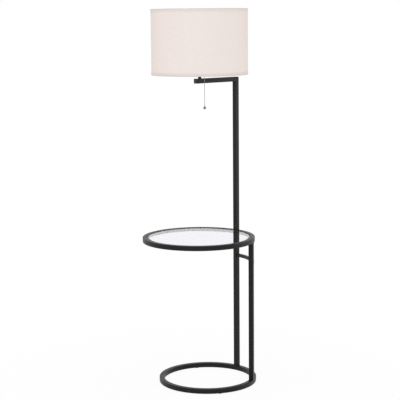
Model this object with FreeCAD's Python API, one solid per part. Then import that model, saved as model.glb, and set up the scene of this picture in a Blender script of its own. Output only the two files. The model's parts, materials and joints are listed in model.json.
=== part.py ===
import FreeCAD, Part

import math
import os

from FreeCAD import Placement, Rotation, Vector

# Floor lamp with a round glass table. Millimetres, +Z up, the floor at Z = 0.
# Both rings are centred on the plane Y = 0; the two legs stand at +X, one each side of it.
# The lamp head is built about its own upright axis, with its X axis along the boom.

# Square tube and bar
TUBE = 19.0
TUBE_WALL = 1.5
TUBE_CORNER = 1.6
RING_CORNER = 1.0
BRACE_BAR = 12.7
BRACE_HEIGHT = 500.0

# Base ring
BASE_DIAMETER = 400.0
PAD_COUNT = 4
PAD_DIAMETER = 16.0
PAD_THICKNESS = 1.5

# Legs, post and boom
LEG_SPACING = 217.0
BOOM_TOP = 1247.0
BOOM_REACH = 205.5
BOOM_OVERHANG = 24.5
TONGUE_LENGTH = 120.0
TONGUE_BORE = 8.0
PLUG_LENGTH = 18.0
CAP_FLANGE = 2.0
CAP_INSERT = 12.0

# Table ring and glass
TABLE_DIAMETER = 457.0
TABLE_TOP = 607.5
LEDGE_WIDTH = 10.0
LEDGE_THICKNESS = 2.5
GLASS_THICKNESS = 5.0
GLASS_DROP = 1.5
GLASS_BEVEL = 0.8
GLASS_MARGIN = 2.0
BUMPER_COUNT = 6
BUMPER_DIAMETER = 8.0
BUMPER_THICKNESS = 1.0

# Leg bolts, tongue screws and cord bushing
BOLT_DIAMETER = 8.0
BOLT_LENGTH = 28.0
BOLT_HEAD_ACROSS = 12.0
BOLT_HEAD_HEIGHT = 4.5
WASHER_DIAMETER = 14.0
WASHER_THICKNESS = 1.2
COUNTERBORE_DEPTH = 7.0
SCREW_DIAMETER = 6.0
SCREW_SPACING = 30.0
SCREW_SOCKET_ACROSS = 3.0
BUSHING_HEIGHT = 60.0
BUSHING_BARREL = 9.0
BUSHING_BORE = 6.4
BUSHING_FLANGE = 13.0
BUSHING_FLANGE_THICKNESS = 1.6
BUSHING_INSIDE = 3.0

# Neck and nipple under the socket
NIPPLE_DIAMETER = 10.0
NIPPLE_BORE = 6.0
NIPPLE_END = 5.0
NUT_ACROSS = 14.0
NUT_THICKNESS = 4.0
LOCK_WASHER_DIAMETER = 15.0
LOCK_WASHER_THICKNESS = 1.0
NECK_DIAMETER = 14.0
NECK_HEIGHT = 15.0

# Socket
SHEET = 0.8
CAP_DIAMETER = 34.2
CAP_HEIGHT = 22.0
CAP_FOOT_DIAMETER = 18.0
SHELL_DIAMETER = 36.0
SHELL_HEIGHT = 52.0
SHELL_LAP = 4.0
LINER_THICKNESS = 0.4
CORE_HEIGHT = 22.0
LAMP_THREAD_DIAMETER = 26.0
CONTACT_WIDTH = 6.0
CONTACT_RISE = 4.0

# Pull chain
CHAIN_OFFSET = 27.0
CHAIN_ARM_DIAMETER = 6.0
CHAIN_ARM_BEND = 6.0
CHAIN_ARM_DROP = 7.0
CHAIN_MOUTH_DIAMETER = 8.0
CHAIN_MOUTH_LENGTH = 3.0
BEAD_DIAMETER = 3.2
BEAD_PITCH = 4.3
LINK_DIAMETER = 1.0
SHORT_CHAIN_BEADS = 3
COUPLING_DIAMETER = 5.0
COUPLING_LENGTH = 8.0
BALL_DIAMETER = 11.0
BALL_HEIGHT = 1130.5
BALL_COLLAR_DIAMETER = 4.4
BALL_COLLAR_HEIGHT = 2.4

# Harp and finial
SADDLE_HALF_WIDTH = 25.0
SADDLE_STRIP = 14.0
SADDLE_THICKNESS = 1.5
EAR_WIDTH = 4.4
EAR_HEIGHT = 20.0
HARP_HEIGHT = 216.0
HARP_WIRE = 3.2
HARP_LEG = 24.0
HARP_FLARE_ANGLE = 35.0
HARP_FLARE_RADIUS = 60.0
HARP_SHOULDER_ANGLE = 45.0
HARP_FLAT = 8.0
FERRULE_WALL = 0.8
FERRULE_LENGTH = 16.0
SWIVEL_DIAMETER = 10.0
REST_DIAMETER = 18.0
REST_THICKNESS = 2.0
STUD_DIAMETER = 6.35
STUD_LENGTH = 13.0
FINIAL_HEIGHT = 24.0
FINIAL_DIAMETER = 17.0
FINIAL_BALL = 13.0
FINIAL_WAIST = 8.8

# Bulb
BULB_DIAMETER = 60.0
BULB_LENGTH = 108.0
BULB_NECK = 28.0
BULB_GLASS = 1.0
BULB_BASE_HEIGHT = 24.0
BULB_TIP_DIAMETER = 10.0
BULB_TIP_HEIGHT = 3.0

# Drum shade
SHADE_DIAMETER = 388.0
SHADE_HEIGHT = 261.0
SHADE_TOP = 1524.0
FABRIC = 0.8
STYRENE = 0.8
TRIM = 0.6
TRIM_BAND = 12.0
SHADE_WIRE = 3.6
SPIDER_ARMS = 3
SPIDER_BEND = 9.0
SPIDER_WASHER_DIAMETER = 30.0
SPIDER_WASHER_THICKNESS = 1.6

# Flat sides on the smallest turned pieces and on bent wire
BEAD_SIDES = 8
KNOB_SIDES = 24
CAP_SIDES = 48
WIRE_SIDES = 8

# Clearances
GAP = 0.3
FIT = 0.1
HOLE_MARGIN = 0.3

os.makedirs("parts", exist_ok=True)
UP = Vector(0, 0, 1)
ORIGIN = Vector(0, 0, 0)

# Where the legs meet both rings' centrelines
base_line = (BASE_DIAMETER - TUBE) / 2
table_line = (TABLE_DIAMETER - TUBE) / 2
leg_y = LEG_SPACING / 2
legs_from_base = math.sqrt(base_line**2 - leg_y**2)
legs_from_table = math.sqrt(table_line**2 - leg_y**2)
post_turn = math.degrees(math.atan2(leg_y, legs_from_table))
outward = Vector(math.cos(math.radians(post_turn)), math.sin(math.radians(post_turn)), 0)

# The origin is under the middle of the whole lamp's box
table_from_base = legs_from_base - legs_from_table
post_from_base = Vector(legs_from_base, leg_y, 0)
shade_from_base = post_from_base - outward * BOOM_REACH
discs = [
    (Vector(0, 0, 0), BASE_DIAMETER / 2),
    (Vector(table_from_base, 0, 0), TABLE_DIAMETER / 2),
    (shade_from_base, SHADE_DIAMETER / 2),
]
middle_x = (min(c.x - r for c, r in discs) + max(c.x + r for c, r in discs)) / 2
middle_y = (min(c.y - r for c, r in discs) + max(c.y + r for c, r in discs)) / 2
base_centre = Vector(-middle_x, -middle_y, 0)
table_centre = base_centre + Vector(table_from_base, 0, 0)
shade_centre = base_centre + shade_from_base
rear_leg_at = base_centre + post_from_base
front_leg_at = base_centre + Vector(legs_from_base, -leg_y, 0)

# Levels, from the floor up
base_top = PAD_THICKNESS + TUBE
table_low = TABLE_TOP - TUBE
glass_top = TABLE_TOP - GLASS_DROP
glass_low = glass_top - GLASS_THICKNESS
ledge_top = glass_low - BUMPER_THICKNESS
boom_low = BOOM_TOP - TUBE
tube_bore = TUBE - 2 * TUBE_WALL
neck_top = BOOM_TOP + NECK_HEIGHT
cap_low = neck_top + SADDLE_THICKNESS
cap_top = cap_low + CAP_HEIGHT
shell_low = cap_top - SHELL_LAP
shell_top = shell_low + SHELL_HEIGHT
core_low = cap_top + FIT
core_radius = SHELL_DIAMETER / 2 - SHEET - LINER_THICKNESS - 2 * FIT
core_top = core_low + CORE_HEIGHT
shade_low = SHADE_TOP - SHADE_HEIGHT


def turned(shape, at, turn=0.0):
    """A copy of a shape, turned about the upright axis and then moved."""
    copy = shape.copy()
    copy.Placement = Placement(at, Rotation(UP, turn)).multiply(copy.Placement)
    return copy


def at_head(shape):
    """A piece of the lamp head, put on the shade's axis with its X along the boom."""
    return turned(shape, shade_centre, post_turn)


def round_edges(shape, radius, picked):
    return shape.makeFillet(radius, picked)


def square_bar(side, length, corner):
    """An upright square bar on the Z axis, from Z = 0 up, with rounded long edges."""
    bar = Part.makeBox(side, side, length, Vector(-side / 2, -side / 2, 0))
    long_edges = [e for e in bar.Edges if e.BoundBox.ZLength > length / 2]
    return round_edges(bar, corner, long_edges)


def square_tube(length):
    """The lamp's square tube, upright from Z = 0."""
    bore = Part.makeBox(tube_bore, tube_bore, length, Vector(-tube_bore / 2, -tube_bore / 2, 0))
    return square_bar(TUBE, length, TUBE_CORNER).cut(bore)


def square_plug(length):
    side = tube_bore - 2 * FIT
    return Part.makeBox(side, side, length, Vector(-side / 2, -side / 2, 0))


def flat_ring(outer_radius, inner_radius, thickness):
    return Part.makeCylinder(outer_radius, thickness).cut(Part.makeCylinder(inner_radius, thickness))


def round_rims(shape):
    return [e for e in shape.Edges if isinstance(e.Curve, Part.Circle)]


def square_ring(line_radius, side):
    """A square bar rolled into a ring, lying on Z = 0, with its corners taken off."""
    ring = flat_ring(line_radius + side / 2, line_radius - side / 2, side)
    return ring.makeChamfer(RING_CORNER, round_rims(ring))


def hexagon(across_flats, height):
    radius = across_flats / math.sqrt(3)
    corners = [Vector(radius * math.cos(math.radians(a)), radius * math.sin(math.radians(a)), 0)
               for a in range(0, 361, 60)]
    return Part.Face(Part.makePolygon(corners)).extrude(Vector(0, 0, height))


def polygon(at, across, up, radius, sides):
    """A closed flat outline with even sides, its corners on a circle."""
    turns = [2 * math.pi * (n + 0.5) / sides for n in range(sides + 1)]
    return Part.makePolygon([at + across * (radius * math.cos(a)) + up * (radius * math.sin(a)) for a in turns])


def flat_sided(points, sides):
    """A small turned piece with flat sides, from its (radius, height) outline, bottom first."""
    rings = [polygon(Vector(0, 0, z), Vector(1, 0, 0), Vector(0, 1, 0), r, sides) for r, z in points]
    faces = [Part.Face(rings[0]), Part.Face(rings[-1])]
    for low, high in zip(rings, rings[1:]):
        for below, above in zip(low.Edges, high.Edges):
            a, b = [v.Point for v in below.Vertexes]
            d, c = [v.Point for v in above.Vertexes]
            faces.append(Part.Face(Part.makePolygon([a, b, c, d, a])))
    return Part.makeSolid(Part.makeShell(faces))


def bent_wire(edges, start, along, radius):
    """A wire along joined lines and arcs in the X-Z or Y-Z plane."""
    across = Vector(1, 0, 0) if abs(along.y) > abs(along.x) else Vector(0, 1, 0)
    section = polygon(start, across, along.cross(across), radius, WIRE_SIDES)
    return Part.Wire(edges).makePipeShell([section], True, False)


def raised(shape, height):
    return turned(shape, Vector(0, 0, height))


def save(node, *solids):
    shape = solids[0] if len(solids) == 1 else Part.makeCompound(list(solids))
    shape.exportStep("parts/" + node + ".step")


# ---------------------------------------------------------------- base ring and what holds the legs
def leg_places():
    return [(rear_leg_at, post_turn), (front_leg_at, -post_turn)]


def make_base_ring():
    ring = turned(square_ring(base_line, TUBE), base_centre + Vector(0, 0, PAD_THICKNESS))
    for place, turn in leg_places():
        through = Part.makeCylinder(BOLT_DIAMETER / 2 + HOLE_MARGIN, base_top)
        counterbore = Part.makeCylinder(WASHER_DIAMETER / 2 + HOLE_MARGIN, PAD_THICKNESS + COUNTERBORE_DEPTH)
        ring = ring.cut(turned(through, place)).cut(turned(counterbore, place))
    return ring


def make_floor_pads():
    pad = Part.makeCylinder(PAD_DIAMETER / 2, PAD_THICKNESS)
    return [turned(pad, base_centre + Vector(base_line * math.cos(a), base_line * math.sin(a), 0))
            for a in (2 * math.pi * n / PAD_COUNT for n in range(PAD_COUNT))]


def make_leg_bolts():
    head_top = PAD_THICKNESS + COUNTERBORE_DEPTH - WASHER_THICKNESS
    head = raised(hexagon(BOLT_HEAD_ACROSS, BOLT_HEAD_HEIGHT), head_top - BOLT_HEAD_HEIGHT)
    shank = raised(Part.makeCylinder(BOLT_DIAMETER / 2, BOLT_LENGTH), head_top)
    return [turned(head.fuse(shank), place, turn) for place, turn in leg_places()]


def make_leg_washers():
    washer = flat_ring(WASHER_DIAMETER / 2, BOLT_DIAMETER / 2 + FIT, WASHER_THICKNESS)
    height = PAD_THICKNESS + COUNTERBORE_DEPTH - WASHER_THICKNESS
    return [turned(raised(washer, height), place) for place, turn in leg_places()]


def make_foot_plugs():
    plug = square_plug(PLUG_LENGTH).cut(Part.makeCylinder(BOLT_DIAMETER / 2 + FIT, PLUG_LENGTH))
    return [turned(raised(plug, base_top), place, turn) for place, turn in leg_places()]


# ---------------------------------------------------------------- legs, brace, tongue and post
def sideways(shape, height):
    """Lays a piece made along Z along X instead, at a height."""
    copy = shape.copy()
    copy.Placement = Placement(Vector(0, 0, height), Rotation(Vector(0, 1, 0), 90)).multiply(copy.Placement)
    return copy


def tongue_screw_heights():
    middle = table_low - TONGUE_LENGTH / 4
    return [middle - SCREW_SPACING / 2, middle + SCREW_SPACING / 2 - TUBE / 2]


def make_rear_leg():
    leg = raised(square_tube(table_low - base_top), base_top)
    cord_hole = Part.makeCylinder(BUSHING_BARREL / 2 + FIT, TUBE)
    leg = leg.cut(sideways(cord_hole, BUSHING_HEIGHT))
    for height in tongue_screw_heights():
        leg = leg.cut(sideways(Part.makeCylinder(SCREW_DIAMETER / 2 + FIT, TUBE), height))
    return turned(leg, rear_leg_at, post_turn)


def make_front_leg():
    return turned(raised(square_tube(table_low - base_top), base_top), front_leg_at, -post_turn)


def make_leg_brace():
    """A square bar bent to the table ring's curve, its ends cut to the sides of the legs."""
    bar = square_ring(table_line, BRACE_BAR)
    bar = turned(bar, table_centre + Vector(0, 0, BRACE_HEIGHT - BRACE_BAR / 2))
    reach = TABLE_DIAMETER
    beyond_rear = Part.makeBox(2 * reach, reach, TABLE_TOP, Vector(-reach, -TUBE / 2, 0))
    beyond_front = Part.makeBox(2 * reach, reach, TABLE_TOP, Vector(-reach, TUBE / 2 - reach, 0))
    far_side = Part.makeBox(reach, 2 * reach, TABLE_TOP, Vector(-reach, -reach, 0))
    bar = bar.cut(turned(beyond_rear, rear_leg_at, post_turn))
    bar = bar.cut(turned(beyond_front, front_leg_at, -post_turn))
    return bar.cut(turned(far_side, table_centre))


def make_cord_bushing():
    flange = raised(Part.makeCylinder(BUSHING_FLANGE / 2, BUSHING_FLANGE_THICKNESS), TUBE / 2)
    barrel_length = TUBE_WALL + BUSHING_INSIDE
    barrel = raised(Part.makeCylinder(BUSHING_BARREL / 2, barrel_length), TUBE / 2 - barrel_length)
    outer_edge = [e for e in round_rims(flange) if e.BoundBox.ZMin > TUBE / 2 + BUSHING_FLANGE_THICKNESS / 2]
    flange = flange.makeChamfer(BUSHING_FLANGE_THICKNESS / 2, outer_edge)
    bore = raised(Part.makeCylinder(BUSHING_BORE / 2, TUBE), 0)
    return turned(sideways(flange.fuse(barrel).cut(bore), BUSHING_HEIGHT), rear_leg_at, post_turn)


def make_tongue():
    """The square bar that joins the post to the rear leg through the table ring."""
    bar = square_plug(TONGUE_LENGTH).cut(Part.makeCylinder(TONGUE_BORE / 2, TONGUE_LENGTH))
    bar = raised(bar, TABLE_TOP - TUBE / 2 - TONGUE_LENGTH / 2)
    for height in tongue_screw_heights():
        bar = bar.cut(sideways(Part.makeCylinder(SCREW_DIAMETER / 2 + FIT, TUBE), height))
    return turned(bar, rear_leg_at, post_turn)


def make_tongue_screws():
    """Grub screws that hold the tongue, just under flush in the leg's outer face."""
    inner_end = TONGUE_BORE / 2 + TUBE_WALL / 2
    length = TUBE / 2 - FIT - inner_end
    grub = Part.makeCylinder(SCREW_DIAMETER / 2, length)
    grub = grub.cut(raised(hexagon(SCREW_SOCKET_ACROSS, length / 2), length / 2))
    grub = raised(grub, inner_end)
    return [turned(sideways(grub, height), rear_leg_at, post_turn) for height in tongue_screw_heights()]


def mitre(keep_below):
    """Half of the space each side of the 45 degree mitre between post and boom."""
    size = 4 * TUBE
    block = Part.makeBox(size, size, size, Vector(-size / 2, -size / 2, -size if keep_below else 0))
    tilt = Rotation(Vector(0, 1, 0), -45)
    block.Placement = Placement(Vector(0, 0, BOOM_TOP - TUBE / 2), tilt)
    return block


def make_post():
    post = raised(square_tube(BOOM_TOP - TABLE_TOP), TABLE_TOP)
    return turned(post.cut(mitre(False)), rear_leg_at, post_turn)


def make_boom():
    length = BOOM_REACH + BOOM_OVERHANG - CAP_FLANGE + TUBE / 2
    boom = sideways(square_tube(length), BOOM_TOP - TUBE / 2)
    boom = turned(boom, Vector(TUBE / 2 - length, 0, 0))
    boom = boom.cut(mitre(True))
    hole = raised(Part.makeCylinder(NIPPLE_DIAMETER / 2 + HOLE_MARGIN, TUBE / 2), BOOM_TOP - TUBE / 2)
    boom = boom.cut(turned(hole, Vector(-BOOM_REACH, 0, 0)))
    return turned(boom, rear_leg_at, post_turn)


def make_boom_end_cap():
    flange = square_bar(TUBE, CAP_FLANGE, TUBE_CORNER)
    face_edges = [e for e in flange.Edges if e.BoundBox.ZMax < CAP_FLANGE / 4]
    flange = flange.makeChamfer(CAP_FLANGE / 4, face_edges)
    cap = flange.fuse(raised(square_plug(CAP_INSERT), CAP_FLANGE))
    cap = turned(sideways(cap, BOOM_TOP - TUBE / 2), Vector(-BOOM_REACH - BOOM_OVERHANG, 0, 0))
    return turned(cap, rear_leg_at, post_turn)


# ---------------------------------------------------------------- table ring and glass
def make_table_ring():
    ring = square_ring(table_line, TUBE)
    bore = flat_ring(table_line + tube_bore / 2, table_line - tube_bore / 2, tube_bore)
    ring = turned(ring.cut(raised(bore, TUBE_WALL)), table_centre + Vector(0, 0, table_low))
    slot_side = tube_bore - FIT
    slot = Part.makeBox(slot_side, slot_side, TUBE, Vector(-slot_side / 2, -slot_side / 2, table_low))
    return ring.cut(turned(slot, rear_leg_at, post_turn))


def make_glass_ledge():
    outer = table_line - TUBE / 2
    ledge = flat_ring(outer, outer - LEDGE_WIDTH, LEDGE_THICKNESS)
    return turned(ledge, table_centre + Vector(0, 0, ledge_top - LEDGE_THICKNESS))


def make_glass_bumpers():
    height = BUMPER_THICKNESS - GAP
    bumper = flat_sided([(BUMPER_DIAMETER / 2, 0), (BUMPER_DIAMETER / 2, height)], 2 * BEAD_SIDES)
    radius = table_line - TUBE / 2 - LEDGE_WIDTH / 2
    return [turned(bumper, table_centre + Vector(radius * math.cos(a), radius * math.sin(a), ledge_top))
            for a in (2 * math.pi * (n + 0.5) / BUMPER_COUNT for n in range(BUMPER_COUNT))]


def make_table_glass():
    pane = Part.makeCylinder(table_line - TUBE / 2 - GLASS_MARGIN, GLASS_THICKNESS)
    return turned(pane.makeChamfer(GLASS_BEVEL, round_rims(pane)), table_centre + Vector(0, 0, glass_low))


# ---------------------------------------------------------------- neck, nipple and socket
def make_nipple():
    top = cap_low + SHEET + NIPPLE_END
    low = BOOM_TOP - TUBE_WALL - LOCK_WASHER_THICKNESS - NUT_THICKNESS - NIPPLE_END / 2
    return at_head(raised(flat_ring(NIPPLE_DIAMETER / 2, NIPPLE_BORE / 2, top - low), low))


def make_nipple_nut():
    nut = hexagon(NUT_ACROSS, NUT_THICKNESS).cut(Part.makeCylinder(NIPPLE_DIAMETER / 2 + FIT, NUT_THICKNESS))
    return at_head(raised(nut, BOOM_TOP - TUBE_WALL - LOCK_WASHER_THICKNESS - NUT_THICKNESS))


def make_lock_washer():
    washer = flat_ring(LOCK_WASHER_DIAMETER / 2, NIPPLE_DIAMETER / 2 + FIT, LOCK_WASHER_THICKNESS)
    return at_head(raised(washer, BOOM_TOP - TUBE_WALL - LOCK_WASHER_THICKNESS))


def make_neck():
    neck = flat_ring(NECK_DIAMETER / 2, NIPPLE_DIAMETER / 2 + FIT, NECK_HEIGHT)
    return at_head(raised(neck, BOOM_TOP))


def make_harp_saddle():
    """A strip under the socket, with feet for the harp's legs and ears that they lie against."""
    half = harp_leg_x + HARP_WIRE / 2
    strip = Part.makeBox(2 * half, SADDLE_STRIP, SADDLE_THICKNESS, Vector(-half, -SADDLE_STRIP / 2, neck_top))
    hole = Part.makeCylinder(NIPPLE_DIAMETER / 2 + HOLE_MARGIN, SADDLE_THICKNESS)
    saddle = strip.cut(raised(hole, neck_top))
    for side in (-1, 1):
        inner = side * SADDLE_HALF_WIDTH - SADDLE_THICKNESS / 2
        foot_length = half - SADDLE_HALF_WIDTH + SADDLE_THICKNESS / 2
        foot_start = half - foot_length if side > 0 else -half
        foot = Part.makeBox(foot_length, SADDLE_STRIP / 2, harp_foot - neck_top,
                            Vector(foot_start, -SADDLE_STRIP / 4, neck_top))
        ear = Part.makeBox(SADDLE_THICKNESS, EAR_WIDTH, EAR_HEIGHT, Vector(inner, -EAR_WIDTH / 2, neck_top))
        saddle = saddle.fuse(foot).fuse(ear)
    return at_head(saddle.removeSplitter())


def make_socket_cap():
    foot = CAP_FOOT_DIAMETER / 2
    side = CAP_DIAMETER / 2
    hole = NIPPLE_DIAMETER / 2 + FIT
    knee = cap_low + CAP_HEIGHT / 2
    cap = flat_sided([(foot, cap_low), (side, knee), (side, cap_top)], CAP_SIDES)
    hollow = flat_sided([(foot - SHEET / 2, cap_low + SHEET), (side - SHEET, knee + SHEET / 2),
                         (side - SHEET, cap_top)], CAP_SIDES)
    return at_head(cap.cut(hollow).cut(raised(Part.makeCylinder(hole, SHEET), cap_low)))


def chain_arm_tunnel(radius):
    """The space that the chain arm passes through in the shell, liner and core."""
    tunnel = Part.makeCylinder(radius, CHAIN_OFFSET, ORIGIN, Vector(0, -1, 0))
    return raised(tunnel, arm_height)


arm_height = core_low + CORE_HEIGHT / 2


def make_socket_shell():
    outer = SHELL_DIAMETER / 2
    shell = flat_ring(outer, outer - SHEET, SHELL_HEIGHT)
    rim = flat_ring(outer + SHEET, outer, 2 * SHEET)
    shell = shell.fuse(raised(rim, SHELL_HEIGHT - 2 * SHEET)).removeSplitter()
    shell = raised(shell, shell_low)
    return at_head(shell.cut(chain_arm_tunnel(CHAIN_ARM_DIAMETER / 2 + HOLE_MARGIN)))


def make_socket_liner():
    outer = SHELL_DIAMETER / 2 - SHEET - FIT
    height = shell_top - cap_top - SHEET
    liner = raised(flat_ring(outer, outer - LINER_THICKNESS, height), cap_top + FIT)
    return at_head(liner.cut(chain_arm_tunnel(CHAIN_ARM_DIAMETER / 2 + HOLE_MARGIN)))


def make_socket_core():
    core = raised(Part.makeCylinder(core_radius, CORE_HEIGHT), core_low)
    return at_head(core.cut(chain_arm_tunnel(CHAIN_ARM_DIAMETER / 2 + FIT)))


def make_screw_shell():
    """The threaded brass shell that grips the bulb's base, drawn as a plain sleeve."""
    bore = LAMP_THREAD_DIAMETER / 2 + GAP
    height = shell_top - core_top - 2 * SHEET
    return at_head(raised(flat_ring(bore + SHEET, bore, height), core_top))


def make_centre_contact():
    """A sprung strip on the core that meets the tip of the bulb."""
    thickness = SHEET / 2
    foot = Part.makeBox(LAMP_THREAD_DIAMETER / 3, CONTACT_WIDTH, thickness,
                        Vector(0, -CONTACT_WIDTH / 2, core_top))
    leaf = Part.makeBox(LAMP_THREAD_DIAMETER / 2, CONTACT_WIDTH, thickness,
                        Vector(-LAMP_THREAD_DIAMETER / 3, -CONTACT_WIDTH / 2, core_top + CONTACT_RISE - thickness))
    riser = Part.makeBox(thickness, CONTACT_WIDTH, CONTACT_RISE,
                         Vector(LAMP_THREAD_DIAMETER / 6 - thickness, -CONTACT_WIDTH / 2, core_top))
    return at_head(foot.fuse(riser).fuse(leaf).removeSplitter())


# ---------------------------------------------------------------- pull chain
chain_mouth = arm_height - CHAIN_ARM_BEND - CHAIN_ARM_DROP
chain_pivot = chain_mouth - BEAD_DIAMETER / 4


def arm_pipe(radius, start, end_height):
    """A pipe out of the socket, bent a quarter turn to point down."""
    bend = CHAIN_OFFSET - CHAIN_ARM_BEND
    knee = Vector(0, -bend - CHAIN_ARM_BEND * math.sin(math.pi / 4),
                  arm_height - CHAIN_ARM_BEND * (1 - math.cos(math.pi / 4)))
    start_point = Vector(0, -start, arm_height)
    bend_start = Vector(0, -bend, arm_height)
    bend_end = Vector(0, -CHAIN_OFFSET, arm_height - CHAIN_ARM_BEND)
    edges = [
        Part.LineSegment(start_point, bend_start).toShape(),
        Part.Arc(bend_start, knee, bend_end).toShape(),
        Part.LineSegment(bend_end, Vector(0, -CHAIN_OFFSET, end_height)).toShape(),
    ]
    return bent_wire(edges, start_point, Vector(0, -1, 0), radius)


def make_chain_arm():
    mouth_outer = CHAIN_MOUTH_DIAMETER / 2
    bore = BEAD_DIAMETER / 2 + 2 * HOLE_MARGIN
    arm = arm_pipe(CHAIN_ARM_DIAMETER / 2, core_radius / 2, chain_mouth)
    bell = flat_sided([(mouth_outer, 0), (mouth_outer, SHEET), (CHAIN_ARM_DIAMETER / 2, CHAIN_MOUTH_LENGTH)],
                      2 * WIRE_SIDES)
    flare = flat_sided([(mouth_outer - SHEET, 0), (bore, CHAIN_MOUTH_LENGTH)], 2 * WIRE_SIDES)
    mouth = Vector(0, -CHAIN_OFFSET, chain_mouth)
    arm = arm.fuse(turned(bell, mouth)).cut(turned(flare, mouth))
    return at_head(arm.cut(arm_pipe(bore, core_radius / 2, chain_mouth)))


def bead_string(top, count, link_above):
    """Beads hanging down from a height on a wire that also runs up by the given length."""
    wire = LINK_DIAMETER / 2
    bead = BEAD_DIAMETER / 2
    outline = []
    for n in range(count - 1, -1, -1):
        middle = top - n * BEAD_PITCH
        outline += [(wire, middle - bead), (bead, middle - bead / 3), (bead, middle + bead / 3), (wire, middle + bead)]
    if link_above > bead:
        outline.append((wire, top + link_above))
    return flat_sided(outline, BEAD_SIDES)


def on_chain_line(shape):
    return at_head(turned(shape, Vector(0, -CHAIN_OFFSET, 0)))


short_chain_end = chain_pivot - SHORT_CHAIN_BEADS * BEAD_PITCH
coupling_top = short_chain_end - BEAD_PITCH
coupling_low = coupling_top - COUPLING_LENGTH
ball_top = BALL_HEIGHT + BALL_DIAMETER / 2 + BALL_COLLAR_HEIGHT
drop_chain_beads = int((coupling_low - ball_top) / BEAD_PITCH)
first_drop_bead = ball_top + BEAD_DIAMETER / 2 + (drop_chain_beads - 1) * BEAD_PITCH
link_to_bead = BEAD_PITCH - BEAD_DIAMETER / 2 - GAP


def make_switch_chain():
    """The end of the switch's own chain, drawn down out of the arm when it is pulled."""
    return on_chain_line(bead_string(chain_pivot + BEAD_PITCH, 2, BEAD_PITCH))


def make_short_chain():
    """The beads between the switch's chain and the coupling, linked to the bead they hang from."""
    return on_chain_line(bead_string(chain_pivot - BEAD_PITCH, SHORT_CHAIN_BEADS, link_to_bead))


def make_chain_coupling():
    """The barrel that hooks the two chains together, linked to the bead it hangs from."""
    radius = COUPLING_DIAMETER / 2
    wire = LINK_DIAMETER / 2
    barrel = flat_sided([(radius / 2, coupling_low), (radius, coupling_low + radius / 2),
                         (radius, coupling_top - radius / 2), (radius / 2, coupling_top),
                         (wire, coupling_top), (wire, coupling_top + link_to_bead)], 2 * BEAD_SIDES)
    return on_chain_line(barrel)


def make_drop_chain():
    return on_chain_line(bead_string(first_drop_bead, drop_chain_beads, coupling_low - first_drop_bead))


def make_pull_ball():
    ball = BALL_DIAMETER / 2
    collar = BALL_COLLAR_DIAMETER / 2
    last = math.pi / 2 - math.asin(collar / ball)
    turns = [-math.pi / 2 + (last + math.pi / 2) * (n + 0.5) / BEAD_SIDES for n in range(BEAD_SIDES)]
    outline = [(ball * math.cos(a), BALL_HEIGHT + ball * math.sin(a)) for a in turns]
    outline += [(collar, BALL_HEIGHT + ball * math.sin(last)), (collar, ball_top)]
    return on_chain_line(flat_sided(outline, 2 * BEAD_SIDES))


# ---------------------------------------------------------------- harp, ferrules, stud and finial
harp_foot = neck_top + 2 * SADDLE_THICKNESS
harp_top = neck_top + HARP_HEIGHT
harp_leg_x = SADDLE_HALF_WIDTH + SADDLE_THICKNESS / 2 + HARP_WIRE / 2 + FIT
ferrule_x = SADDLE_HALF_WIDTH + (HARP_WIRE + FIT) / 2
ferrule_bore = math.hypot((SADDLE_THICKNESS + HARP_WIRE + FIT) / 2, EAR_WIDTH / 2) + HOLE_MARGIN
rest_top = harp_top + HARP_WIRE / 2 + REST_THICKNESS


def arc_from(start, heading, turn, radius):
    """An arc in the X-Z plane: heading is measured from +Z towards +X, a positive turn bends to +X."""
    side = 1 if turn > 0 else -1
    angle = math.radians(heading)
    centre = start + Vector(side * radius * math.cos(angle), 0, -side * radius * math.sin(angle))

    def after(part):
        swung = math.radians(heading + turn * part)
        return centre - Vector(side * radius * math.cos(swung), 0, -side * radius * math.sin(swung))

    return Part.Arc(start, after(0.5), after(1)).toShape(), after(1)


def harp_half(side):
    """Edges of one harp leg, from its foot up, out round the bulb and in to the middle."""
    flare = math.radians(HARP_FLARE_ANGLE)
    shoulder = math.radians(HARP_SHOULDER_ANGLE)
    foot = Vector(harp_leg_x, 0, harp_foot)
    leg_end = Vector(harp_leg_x, 0, harp_foot + HARP_LEG)
    flare_arc, flare_end = arc_from(leg_end, 0, HARP_FLARE_ANGLE, HARP_FLARE_RADIUS)
    # Radii of the long side and the shoulder that end level at the middle's flat
    across = flare_end.x - HARP_FLAT
    rise = harp_top - flare_end.z
    side_across = math.cos(flare) - math.cos(shoulder)
    side_rise = math.sin(flare) + math.sin(shoulder)
    turn_across = math.cos(shoulder)
    turn_rise = 1 - math.sin(shoulder)
    side_radius = (rise * turn_across - across * turn_rise) / (side_rise * turn_across - side_across * turn_rise)
    turn_radius = (across - side_across * side_radius) / turn_across
    side_arc, side_end = arc_from(flare_end, HARP_FLARE_ANGLE, -HARP_FLARE_ANGLE - HARP_SHOULDER_ANGLE, side_radius)
    turn_arc, turn_end = arc_from(side_end, -HARP_SHOULDER_ANGLE, HARP_SHOULDER_ANGLE - 90, turn_radius)
    flat = Part.LineSegment(turn_end, Vector(0, 0, turn_end.z)).toShape()
    edges = [Part.LineSegment(foot, leg_end).toShape(), flare_arc, side_arc, turn_arc, flat]
    if side < 0:
        edges = [e.mirror(ORIGIN, Vector(1, 0, 0)) for e in edges]
    return edges


def make_harp():
    halves = [bent_wire(harp_half(side), Vector(side * harp_leg_x, 0, harp_foot), UP, HARP_WIRE / 2)
              for side in (-1, 1)]
    return at_head(halves[0].fuse(halves[1]).removeSplitter())


def make_ferrule(side):
    """A loose sleeve that locks a harp leg to its ear; it slides up to free the harp."""
    sleeve = flat_ring(ferrule_bore + FERRULE_WALL, ferrule_bore, FERRULE_LENGTH)
    return at_head(turned(sleeve, Vector(side * ferrule_x, 0, harp_foot + GAP)))


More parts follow.
